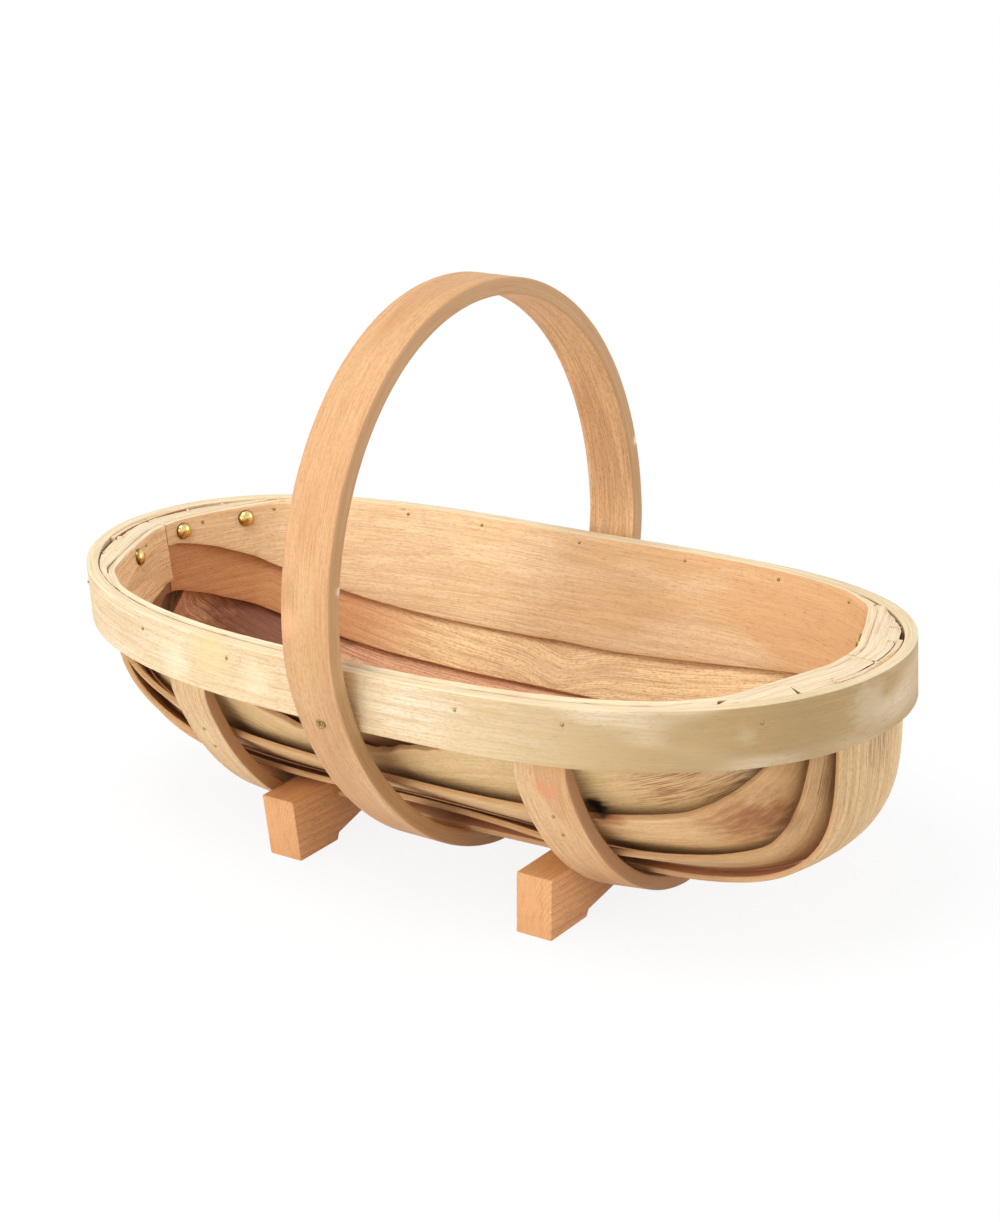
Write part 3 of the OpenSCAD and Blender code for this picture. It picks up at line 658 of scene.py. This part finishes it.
# Each board's own look, as wood() takes it, from the outermost board to the innermost.
BOARDS = {
    "centre_board": dict(
        seed=11, face="#DDBE8A", back="#C98F68", late="#B07A50", pale="#EBD3A8",
        marks=[((0.268, -0.003, 0.120), 0.016, "#6E4A26", 0.7, True)],
    ),
    # Its back, the inner face, is a dark brown that is painted shade: it shows only through the
    # gaps and splits between the front boards.
    "fourth_board_front": dict(
        seed=12, face="#D2AC78", back="#7E5030", late="#A87446", pale="#DFC492",
        marks=[
            ((0.252, -0.034, 0.106), 0.014, "#6E4422", 0.6, True),
            ((0.254, -0.032, 0.124), 0.010, "#6E4422", 0.6, True),
            ((0.238, -0.050, 0.088), 0.012, "#8A5028", 0.5),
        ],
    ),
    "fourth_board_back": dict(
        seed=13, face="#D9B986", back="#B5755A", late="#98604A", pale="#E4C79C",
    ),
    # Its back, the inner face, is a dark brown that is painted shade: it shows only through the
    # gaps and splits between the front boards.
    "third_board_front": dict(
        seed=14, face="#E6C38C", back="#8A5A38", late="#B98450", pale="#EDD6A6",
        drift=("#CFA36C", 0.16, 0.25),
        marks=[
            ((0.149, -0.0875, 0.086), 0.013, "#A8602E", 0.75),
            ((0.1465, -0.0888, 0.0885), 0.0068, "#2E1808", 1.0),
            ((0.222, -0.065, 0.078), 0.030, "#A5642F", 0.8),
            ((0.233, -0.056, 0.080), 0.024, "#8E5028", 0.7),
        ],
    ),
    # The dark reddish mark at the left end is painted shade between the overlapping boards inside
    # that end.
    "third_board_back": dict(
        seed=15, face="#D5B281", back="#EFB98C", late="#9A5434", pale="#EABB92",
        fibre_strength=0.6, marks=[((-0.215, 0.050, 0.085), 0.058, "#6E341C", 0.8)],
    ),
    # Its back, the inner face, is a dark brown that is painted shade: it shows only through the
    # gaps and splits between the front boards.
    "second_board_front": dict(
        seed=16, face="#E0C48E", back="#8A5A38", late="#BA8C58", pale="#EEDDB4",
        drift=("#CDA673", 0.12, 0.24),
        marks=[
            ((0.1390, -0.083, 0.0880), 0.0085, "#2E1808", 1.0),
            ((0.185, -0.084, 0.108), 0.024, "#8A5026", 0.7, True),
            ((0.212, -0.072, 0.116), 0.024, "#824A24", 0.75, True),
        ],
    ),
    "second_board_back": dict(
        seed=17, face="#D8BB86", back="#DCA06A", late="#B87C4E", pale="#F2CC98",
        back_drift=("#FFDCA6", -0.17, -0.08),
    ),
    # Its back, which shows at the inside of the basket's left end, is painted much paler than its
    # face: painted light on an end that lies in shade.
    "side_board_front": dict(
        seed=18, face="#B8895C", back="#FFD9A8", late="#BA8A58", pale="#EEDCB4",
    ),
    "side_board_back": dict(
        seed=19, face="#DFC493", back="#F2D0A0", late="#CB9866", pale="#F6DDB4",
        back_drift=("#E2B27E", -0.12, 0.12),
    ),
}
# Where the long edges are splintered: board, edge, place along X, reach, depth.
TORN = {
    "second_board_front": [(0, -0.070, 0.022, 2.6 * MM), (0, 0.030, 0.030, 2.6 * MM)],
    "fourth_board_front": [(1, 0.238, 0.012, 1.6 * MM)],
    "third_board_front": [(1, 0.19, 0.02, 0.8 * MM)],
}
# Where the photograph shows the front boards' edges away from the CAD's, as pairs of X
# and millimetres. "down" lowers the top edge along the board, "on" lengthens the board past
# its lower edge, along the board named, and "forward" moves the edge nearest the front on.
EDGES = {
    "centre_board": {
        "forward": [
            (-0.17, 0), (-0.155, 5), (-0.11, 5), (-0.09, 2), (-0.04, 5), (0.01, 5), (0.04, 0),
        ],
    },
    "side_board_front": {
        "on": ("second_board_front", [(-0.12, 0), (-0.07, 14), (0.01, 14), (0.09, 0)]),
    },
    "second_board_front": {
        "down": [
            (-0.105, 0), (-0.088, 10), (-0.075, 16), (-0.059, 23), (-0.03, 21), (0.0, 13),
            (0.02, 10), (0.045, 7), (0.06, 3), (0.075, 0),
        ],
    },
    "third_board_front": {
        "down": [(0.135, 0), (0.150, 4), (0.165, 6), (0.187, 12), (0.235, 9.5), (0.250, 0)],
        "on": ("fourth_board_front", [
            (-0.17, 0), (-0.14, 7), (-0.10, 13), (-0.03, 15), (0.05, 13), (0.10, 7), (0.13, 0),
            (0.15, 0), (0.185, 14), (0.215, 22), (0.240, 17), (0.255, 0),
        ]),
    },
    "fourth_board_front": {
        "down": [
            (-0.17, 0), (-0.14, 8), (-0.10, 14), (-0.03, 16), (0.05, 14), (0.10, 8), (0.13, 0),
            (0.15, 0), (0.185, 18), (0.215, 25), (0.235, 18), (0.248, 10), (0.256, 0),
        ],
    },
}


def amounts_at(table, x):
    """Smoothed metres at each X, from pairs of X and millimetres."""
    places, sizes = zip(*table)
    soft = np.hanning(17)
    padded = np.pad(np.interp(x, places, sizes), len(soft) // 2, mode="edge")
    return np.convolve(padded, soft / soft.sum(), mode="valid")[:, None] * MM


def photo_edges(name, rows):
    """The rows of a board with its edges where the photograph shows them."""
    changes = EDGES.get(name, {})
    old = rows
    rows = rows.copy()
    if "down" in changes:
        down = old[:, 1] - old[:, 0]
        down /= np.linalg.norm(down, axis=1, keepdims=True)
        shift = down * amounts_at(changes["down"], old[:, 0, 0])
        rows[:, 0] += shift
        rows[:, 3] += shift
    if "forward" in changes:
        front = old[:, :, 1].mean(axis=0) < 0
        rows[:, front, 1] -= amounts_at(changes["forward"], old[:, 0, 0])
    if "on" in changes:
        other, table = changes["on"]
        lower = finer(strip_rails(other, 0), BOARD_ROWS)
        down = lower[:, 1] - lower[:, 0]
        down /= np.linalg.norm(down, axis=1, keepdims=True)
        x = old[:, 1, 0]
        near = np.abs(lower[:, 0, 0][None] - x[:, None]).argmin(axis=1)
        shift = down[near] * amounts_at(table, x)
        rows[:, 1] += shift
        rows[:, 2] += shift
    return rows


def room(places, directions, walls):
    """How far each place can move along its direction, seen from above, before a wall."""
    best = np.full(len(places), 1.0)
    for wall in walls:
        start, edge = wall[:-1], np.diff(wall, axis=0)
        gap = start[None] - places[:, None]
        across = directions[:, :1] * edge[:, 1] - directions[:, 1:] * edge[:, 0]
        across = np.where(np.abs(across) < 1e-12, 1e-12, across)
        reach = (gap[..., 0] * edge[:, 1] - gap[..., 1] * edge[:, 0]) / across
        share = (gap[..., 0] * directions[:, 1:] - gap[..., 1] * directions[:, :1]) / across
        hit = (reach > 0) & (share >= 0) & (share <= 1)
        best = np.minimum(best, np.where(hit, reach, 1.0).min(axis=1))
    return best


def below_rim(points):
    """How far points lie below the rim's top."""
    return RIM_Z + RIM_RISE * (points[:, 0] / RIM_HIGH.x) ** 2 - points[:, 2]


def top_lips(rows, walls, seed):
    """How far a board's top edge grows outwards. The tops at the basket's ends are bruised
    flat against each other and the rim, so each fills the room outside it, but for
    splits of uneven width."""
    flush = np.clip(2 - below_rim(rows[:, 0]) / (2 * MM), 0, 1)
    out = (rows[:, 0] - rows[:, 3])[:, :2]
    out /= np.linalg.norm(out, axis=1, keepdims=True)
    free = room(rows[:, 0, :2], out, walls)
    uneven = np.clip(smooth_noise(len(rows), 9, seed + 21) - 0.2, 0, 1)
    free = np.clip(free - LIP_LINE - LIP_SPLIT * uneven, 0, LIP_LIMIT)
    ends = np.clip((np.abs(rows[:, 0, 0]) - ENDS_START) / ENDS_FADE, 0, 1)
    return flush * (ends * free + (1 - ends) * np.minimum(free, LIP_AT_SIDES))


def top_walls(rows):
    """The inner lines of a board's top edge, as runs seen from above."""
    flush = np.flatnonzero(below_rim(rows[:, 3]) < 2.5 * MM)
    runs = np.split(flush, np.flatnonzero(np.diff(flush) > 1) + 1)
    return [rows[run, 3, :2] for run in runs if len(run) > 1]


def bow_centre(points):
    """Bends the centre board across its width at the ends, as the rim's outline bends."""
    half = RIM_HIGH.y - RIM_THICKNESS - 0.4 * MM

    def reach(y):
        return (1 - (np.abs(y) / half) ** RIM_SIDE_SQUARENESS) ** (1 / RIM_END_SQUARENESS)

    bowed = points.copy()
    bowed[..., 0] *= reach(points[..., 1]) / reach(CENTRE_BOARD_HALF_WIDTH)
    return bowed


def make_boards():
    """Sawn willow: cream outside and pinker inside, each board from its own log, with tan
    edges that are bruised pale where they show at the rim's top."""
    outline = rim_rows()[:, 3, :2]
    walls = [np.concatenate([outline, outline[:1]])]
    for name, look in BOARDS.items():
        seed = look["seed"]
        heart = (10 + 5 * (seed % 5), 14 + 6 * (seed % 3))
        material = wood("sawn_willow_" + name, cut="#D2A875", top="#EADBBA", heart_mm=heart, **look)
        rows = photo_edges(name, finer(strip_rails(name, 0), BOARD_ROWS))
        centre = name == "centre_board"
        mesh = sweep(
            name, rows, False, BOARD_ARRIS, BOARD_COLUMNS, material, seed, 0.3 * MM,
            TORN.get(name, ()), lips=None if centre else top_lips(rows, walls, seed),
            crown=bow_centre if centre else None,
        )
        if centre:
            for end in (0, -1):
                edge = np.linspace(rows[end, 3], rows[end, 2], 15)
                walls.append(bow_centre(edge)[:, :2])
        else:
            walls += top_walls(rows)
        slot = "board_reddish" if name == "third_board_back" else "board_willow"
        piece(name + "_piece", mesh, slot, name)


STRAPS = {
    "strap_left": dict(seed=31, face="#DABB8C"),
    "strap_right": dict(
        seed=33, face="#D4A672", marks=[((0.129, -0.114, 0.107), 0.008, "#D98A62", 0.6)],
    ),
}


def make_straps():
    """Split ash: close rings and a tan face with brown edges, and a pink stain on one."""
    for name, look in STRAPS.items():
        material = wood(
            "split_ash_" + name, back="#CFA06E", late="#B98357", pale="#E6CDA0",
            cut="#A87A50", thickness=8.3 * MM, ring_mm=3.5, heart_mm=(16, 30), **look,
        )
        rows = finer(strip_rails(name, 1), BOARD_ROWS)
        mesh = sweep(
            name, rows, False, STRAP_ARRIS, BOARD_COLUMNS, material, look["seed"], 0.25 * MM
        )
        piece(name + "_piece", mesh, "strap_wood", name)


def make_feet():
    """Sawn pine: orange blocks with strong rings and slightly eased arrises. The grain runs
    along Y."""
    for seed, name in enumerate(
        ("foot_front_left", "foot_front_right", "foot_back_left", "foot_back_right")
    ):
        material = wood(
            "sawn_pine_" + name, 41 + seed, face="#EBB27C", late="#C2824E", pale="#F2C690",
            thickness=200 * MM, ring_mm=4.5, ring_strength=0.5, heart_mm=(-12, 22), taper=0.08,
            fibre_strength=0.35, patch_strength=0.3,
        )
        points, triangles = welded(name)
        mesh = bpy.data.meshes.new(name)
        mesh.from_pydata(points.tolist(), [], triangles.tolist())
        shape = bmesh.new()
        shape.from_mesh(mesh)
        bmesh.ops.dissolve_limit(
            shape, angle_limit=math.radians(1), verts=shape.verts, edges=shape.edges
        )
        bmesh.ops.bevel(
            shape, geom=shape.edges[:], offset=FOOT_ARRIS, segments=3, profile=0.5,
            affect="EDGES", clamp_overlap=True,
        )
        shape.to_mesh(mesh)
        shape.free()
        attribute = mesh.attributes.new("grain", "FLOAT_VECTOR", "POINT")
        for vertex, value in zip(mesh.vertices, attribute.data):
            value.vector = (vertex.co.y, vertex.co.x % 0.1, 0.03 + vertex.co.z)
        mesh.materials.append(material)
        mesh.polygons.foreach_set("use_smooth", [True] * len(mesh.polygons))
        mesh.set_sharp_from_angle(angle=math.radians(40))
        piece(name + "_block", mesh, "foot_wood", name)


def separate_solids(node):
    """The points of each separate solid of a CAD node."""
    points, triangles = welded(node)
    group = list(range(len(points)))

    def root(p):
        while group[p] != p:
            p = group[p]
        return p

    for a, b, c in triangles:
        top = root(a)
        group[root(b)] = top
        group[root(c)] = top
    roots = np.array([root(p) for p in range(len(points))])
    solids = [points[roots == r] for r in np.unique(roots)]
    fewest = 12
    return [solid for solid in solids if len(solid) >= fewest]


def head_seats(node):
    """Where each head's flat face is and which way its crown points."""
    seats = []
    for points in separate_solids(node):
        centre = (points.min(axis=0) + points.max(axis=0)) / 2
        axis = np.linalg.svd(points - points.mean(axis=0))[2][2]
        level = (points - centre) @ axis
        near = 0.05 * (level.max() - level.min())
        top, base = points[level > level.max() - near], points[level < level.min() + near]
        if np.ptp(top, axis=0).max() > np.ptp(base, axis=0).max():
            axis, base = -axis, top
        seats.append(((base.min(axis=0) + base.max(axis=0)) / 2, axis))
    return seats


def nail_tree():
    """Geometry nodes that set a domed head on every point, along the point's axis."""
    tree = bpy.data.node_groups.new("nail_heads", "GeometryNodeTree")
    sockets = tree.interface
    sockets.new_socket("Geometry", in_out="INPUT", socket_type="NodeSocketGeometry")
    for name, kind in (
        ("Radius", "NodeSocketFloat"), ("Height", "NodeSocketFloat"), ("Facets", "NodeSocketInt"),
        ("Finish", "NodeSocketMaterial"),
    ):
        sockets.new_socket(name, in_out="INPUT", socket_type=kind)
    sockets.new_socket("Geometry", in_out="OUTPUT", socket_type="NodeSocketGeometry")
    given = add(tree, "NodeGroupInput").outputs
    ball = add(tree, "GeometryNodeMeshUVSphere", {
        "Segments": given["Facets"], "Rings": 14, "Radius": 1.0
    })
    place = add(tree, "ShaderNodeSeparateXYZ", {0: add(tree, "GeometryNodeInputPosition")})
    x, y = (
        add(tree, "ShaderNodeMath", {0: place.outputs[k], 1: given["Radius"]}, operation="MULTIPLY")
        for k in (0, 1)
    )
    up = add(tree, "ShaderNodeMath", {0: place.outputs[2], 1: 0.0}, operation="MAXIMUM")
    z = add(tree, "ShaderNodeMath", {0: up, 1: given["Height"]}, operation="MULTIPLY")
    marked = add(tree, "GeometryNodeStoreNamedAttribute", {
        "Geometry": ball, "Name": "rise", "Value": up
    }, data_type="FLOAT", domain="POINT")
    shaped = add(tree, "GeometryNodeSetPosition", {
        "Geometry": marked, "Position": add(tree, "ShaderNodeCombineXYZ", {0: x, 1: y, 2: z})
    })
    axis = add(tree, "GeometryNodeInputNamedAttribute", {"Name": "axis"}, data_type="FLOAT_VECTOR")
    turn = add(tree, "FunctionNodeAlignRotationToVector", {"Vector": axis}, axis="Z")
    heads = add(tree, "GeometryNodeInstanceOnPoints", {
        "Points": given["Geometry"], "Instance": shaped, "Rotation": turn
    })
    real = add(tree, "GeometryNodeRealizeInstances", {0: heads})
    smooth = add(tree, "GeometryNodeSetShadeSmooth", {"Geometry": real, "Shade Smooth": True})
    finished = add(tree, "GeometryNodeSetMaterial", {
        "Geometry": smooth, "Material": given["Finish"]
    })
    add(tree, "NodeGroupOutput", {0: finished})
    return tree


def make_heads(tree, node, slot, radius, height, sink, facets, material):
    """Heads in the places of a CAD node's solids, sunk a little to close the CAD gap."""
    seats = head_seats(node)
    mesh = bpy.data.meshes.new(node + "_seats")
    mesh.from_pydata([tuple(base - axis * sink) for base, axis in seats], [], [])
    attribute = mesh.attributes.new("axis", "FLOAT_VECTOR", "POINT")
    attribute.data.foreach_set("vector", np.array([axis for _, axis in seats]).ravel())
    seat = bpy.data.objects.new(node + "_seats", mesh)
    bpy.context.scene.collection.objects.link(seat)
    modifier = seat.modifiers.new("heads", "NODES")
    modifier.node_group = tree
    values = {"Radius": radius, "Height": height + sink, "Facets": facets, "Finish": material}
    for item in tree.interface.items_tree:
        if item.in_out == "INPUT" and item.name in values:
            modifier[item.identifier] = values[item.name]
    bpy.context.view_layer.update()
    drawn = bpy.data.meshes.new_from_object(
        seat.evaluated_get(bpy.context.evaluated_depsgraph_get())
    )
    bpy.data.objects.remove(seat)
    shape = bmesh.new()
    shape.from_mesh(drawn)
    bmesh.ops.remove_doubles(shape, verts=shape.verts, dist=0.005 * MM)
    bmesh.ops.recalc_face_normals(shape, faces=shape.faces)
    shape.to_mesh(drawn)
    shape.free()
    drawn.set_sharp_from_angle(angle=math.radians(60))
    piece(node + "_heads", drawn, slot, node)


def make_nails():
    """Stamped brass domes, which shine, and drawn wire pins, which are small and dull."""
    tree = nail_tree()
    # The domes' foot colour is painted dark reflection and shade.
    bright = brass("stamped_brass_domes", "#F0D68C", "#B08A3C", 0.5, 0.13, foot="#6A4716")
    wire = brass("drawn_brass_pins", "#B39A66", "#75602F", 0.7, 0.35)
    for node in ("dome_nails_left", "dome_nails_right"):
        make_heads(tree, node, "dome_brass", DOME_RADIUS, DOME_HEIGHT, DOME_SINK, 40, bright)
    for node in ("rim_pins_front", "rim_pins_back", "strap_pins"):
        make_heads(tree, node, "pin_metal", PIN_RADIUS, PIN_HEIGHT, PIN_SINK, 16, wire)
    return wire


def make_screws(material):
    """Countersunk screw heads with a crossed recess."""
    rings, spokes = 16, 64
    shape = bmesh.new()
    for points in separate_solids("handle_screws"):
        side = math.copysign(1, points[:, 1].mean())
        face = points[:, 1][np.argmax(points[:, 1] * side)]
        head = points[np.abs(points[:, 1] - face) < 2 * MM]
        centre = (head.min(axis=0) + head.max(axis=0)) / 2
        grid = []
        for ring in range(1, rings + 1):
            r = SCREW_RADIUS * ring / rings
            row = []
            for spoke in range(spokes):
                angle = 2 * math.pi * (spoke + 0.5) / spokes
                u, v = r * math.cos(angle), r * math.sin(angle)
                low, high = sorted((abs(u), abs(v)))
                sunk = 0
                if low < RECESS_HALF_WIDTH:
                    sunk = RECESS_DEPTH * max(0, 1 - high / RECESS_REACH)
                crown = SCREW_CROWN * (1 - (r / SCREW_RADIUS) ** 2)
                row.append(shape.verts.new((
                    centre[0] + u, face + side * (crown - sunk), centre[2] + v
                )))
            grid.append(row)
        skirt = [
            shape.verts.new((p.co.x, face - side * SCREW_SKIRT, p.co.z)) for p in grid[-1]
        ]
        grid.append(skirt)
        shape.faces.new(grid[0])
        shape.faces.new(skirt)
        for inner, outer in zip(grid, grid[1:]):
            for s in range(spokes):
                t = (s + 1) % spokes
                shape.faces.new((inner[s], inner[t], outer[t], outer[s]))
    bmesh.ops.recalc_face_normals(shape, faces=shape.faces)
    mesh = bpy.data.meshes.new("handle_screws")
    shape.to_mesh(mesh)
    shape.free()
    mesh.materials.append(material)
    mesh.polygons.foreach_set("use_smooth", [True] * len(mesh.polygons))
    mesh.set_sharp_from_angle(angle=math.radians(35))
    piece("handle_screw_heads", mesh, "screw_brass", "handle_screws")


# Stage

# How much of the floor's shadow is washed out near the basket, and between which distances
# from it the rest goes.
FLOOR_LIFT = 0.88
FLOOR_FADE = (0.2, 0.6)
FLOOR_HALF = 6.0
# The surround as light on the basket. What the camera and shiny metal see of it is white.
SURROUND_LIGHT = 0.62


def seen_directly(tree):
    """One where the camera, or a glossy or clear surface, sees the surface itself."""
    ray = add(tree, "ShaderNodeLightPath").outputs
    direct = add(tree, "ShaderNodeMath", {
        0: ray["Is Camera Ray"], 1: ray["Is Glossy Ray"]
    }, operation="MAXIMUM")
    return add(tree, "ShaderNodeMath", {
        0: direct, 1: ray["Is Transmission Ray"]
    }, operation="MAXIMUM")


def make_floor():
    """White paper that keeps the shadow near the basket and is pure white further out."""
    h = FLOOR_HALF
    mesh = bpy.data.meshes.new("floor")
    mesh.from_pydata([(-h, -h, 0), (h, -h, 0), (h, h, 0), (-h, h, 0)], [], [(0, 1, 2, 3)])
    floor = bpy.data.objects.new("floor", mesh)
    bpy.context.scene.collection.objects.link(floor)
    material = bpy.data.materials.new("white_paper_sweep")
    material.use_nodes = True
    tree = material.node_tree
    tree.nodes.clear()
    paper = add(tree, "ShaderNodeBsdfDiffuse", {"Color": linear("#F4F4F4")})
    white = add(tree, "ShaderNodeEmission", {"Strength": 1.0})
    place = add(tree, "ShaderNodeTexCoord").outputs["Object"]
    away = add(tree, "ShaderNodeVectorMath", {0: place}, operation="LENGTH").outputs["Value"]
    far = add(tree, "ShaderNodeMapRange", {
        "Value": away, "From Min": FLOOR_FADE[0], "From Max": FLOOR_FADE[1]
    }, interpolation_type="SMOOTHSTEP")
    near = add(tree, "ShaderNodeMath", {
        0: far, 1: 1 - FLOOR_LIFT, 2: FLOOR_LIFT
    }, operation="MULTIPLY_ADD")
    amount = add(tree, "ShaderNodeMath", {0: near, 1: seen_directly(tree)}, operation="MULTIPLY")
    shown = add(tree, "ShaderNodeMixShader", {0: amount, 1: paper, 2: white})
    add(tree, "ShaderNodeOutputMaterial", {"Surface": shown})
    mesh.materials.append(material)


def make_surround():
    """A white studio, dimmer as a light than it looks."""
    world = bpy.data.worlds.new("studio")
    bpy.context.scene.world = world
    world.use_nodes = True
    tree = world.node_tree
    tree.nodes.clear()
    white = (1, 1, 1, 1)
    dim = add(tree, "ShaderNodeBackground", {"Color": white, "Strength": SURROUND_LIGHT})
    full = add(tree, "ShaderNodeBackground", {"Color": white, "Strength": 1.0})
    shown = add(tree, "ShaderNodeMixShader", {0: seen_directly(tree), 1: dim, 2: full})
    add(tree, "ShaderNodeOutputWorld", {"Surface": shown})


def lamp(name, place, target, size, watts):
    """A square soft light that faces a target."""
    data = bpy.data.lights.new(name, "AREA")
    data.shape = "SQUARE"
    data.size = size
    data.energy = watts
    light = bpy.data.objects.new(name, data)
    light.location = place
    towards = Vector(target) - Vector(place)
    light.rotation_euler = towards.to_track_quat("-Z", "Y").to_euler()
    bpy.context.scene.collection.objects.link(light)


def make_lights():
    aim = (0, 0, 0.12)
    lamp("key", (-1.6, -2.0, 1.2), aim, 1.3, 10)
    lamp("low", (-0.15, -1.8, 0.5), aim, 1.0, 9)
    lamp("top", (-0.1, -0.75, 2.1), aim, 1.0, 25)
    lamp("back", (1.6, 1.3, 0.6), aim, 0.9, 12)


def make_camera():
    data = bpy.data.cameras.new("camera")
    data.sensor_width = SENSOR
    data.lens = FOCAL_PIXELS * SENSOR / PHOTO_LONG_SIDE
    data.clip_start = 0.05
    data.clip_end = 30
    camera = bpy.data.objects.new("camera", data)
    camera.location = CAMERA_PLACE
    camera.rotation_euler = CAMERA_TURN
    bpy.context.scene.collection.objects.link(camera)
    bpy.context.scene.camera = camera
    bpy.context.scene.view_settings.view_transform = "Standard"


make_camera()
make_rim()
make_handle()
make_boards()
make_straps()
make_feet()
make_screws(make_nails())
make_floor()
make_surround()
make_lights()
